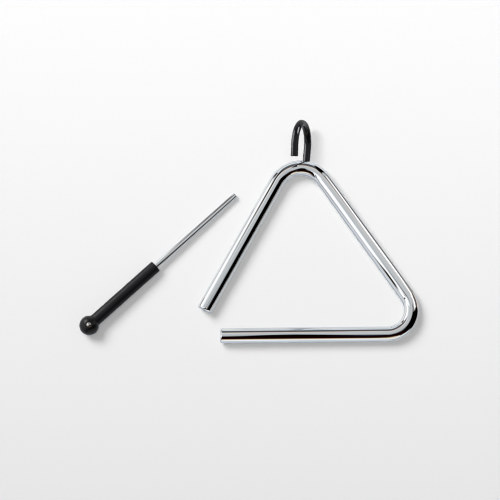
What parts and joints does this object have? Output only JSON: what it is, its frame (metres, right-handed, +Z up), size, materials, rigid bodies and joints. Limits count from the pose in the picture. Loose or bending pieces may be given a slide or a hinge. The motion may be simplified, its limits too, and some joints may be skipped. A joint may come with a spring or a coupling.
{
  "type": "triangle instrument",
  "caption": "Percussion triangle bent from round chromed bar, open at one corner, with a swivelling hanging hook in its top bend and a loose steel beater with a ball-ended grip.",
  "frame": {"origin": "on the table, under the centre of the bounding box of the whole set as it lies (triangle, hook and beater)", "axes": "+X along the triangle's bottom side towards its closed lower corner, +Y from the bottom side towards the top bend and the hook, +Z up from the table"},
  "size_m": [0.2148, 0.1402, 0.0317],
  "materials": {
    "chrome_bar": "mirror-bright chrome plate",
    "hook_steel": "drawn wire, cut end",
    "hook_plastic": "glossy black soft plastic",
    "chrome_rod": "bright chrome plate",
    "grip_rubber": "matte black",
    "ball_plastic": "satin black",
    "pin_steel": "bright, domed"
  },
  "bodies": {
    "triangle": {"bar": "chrome_bar"},
    "hook": {"hook_wire": "hook_steel", "hook_sleeve": "hook_plastic"},
    "beater": {"beater_rod": "chrome_rod", "beater_grip": "grip_rubber", "beater_ball": "ball_plastic", "ball_pin": "pin_steel"}
  },
  "joints": [
    {"name": "hook_swivel", "type": "hinge", "parent": "triangle", "child": "hook", "pos_m": [0.03727, 0.04493, 0.00475], "axis": [0.1011, 0.9949, 0], "range_deg": [-71, 109]},
    {"name": "beater_lift", "type": "slide", "parent": "triangle", "child": "beater", "axis": [0, 0, 1], "range_m": [0, 0.08]}
  ]
}
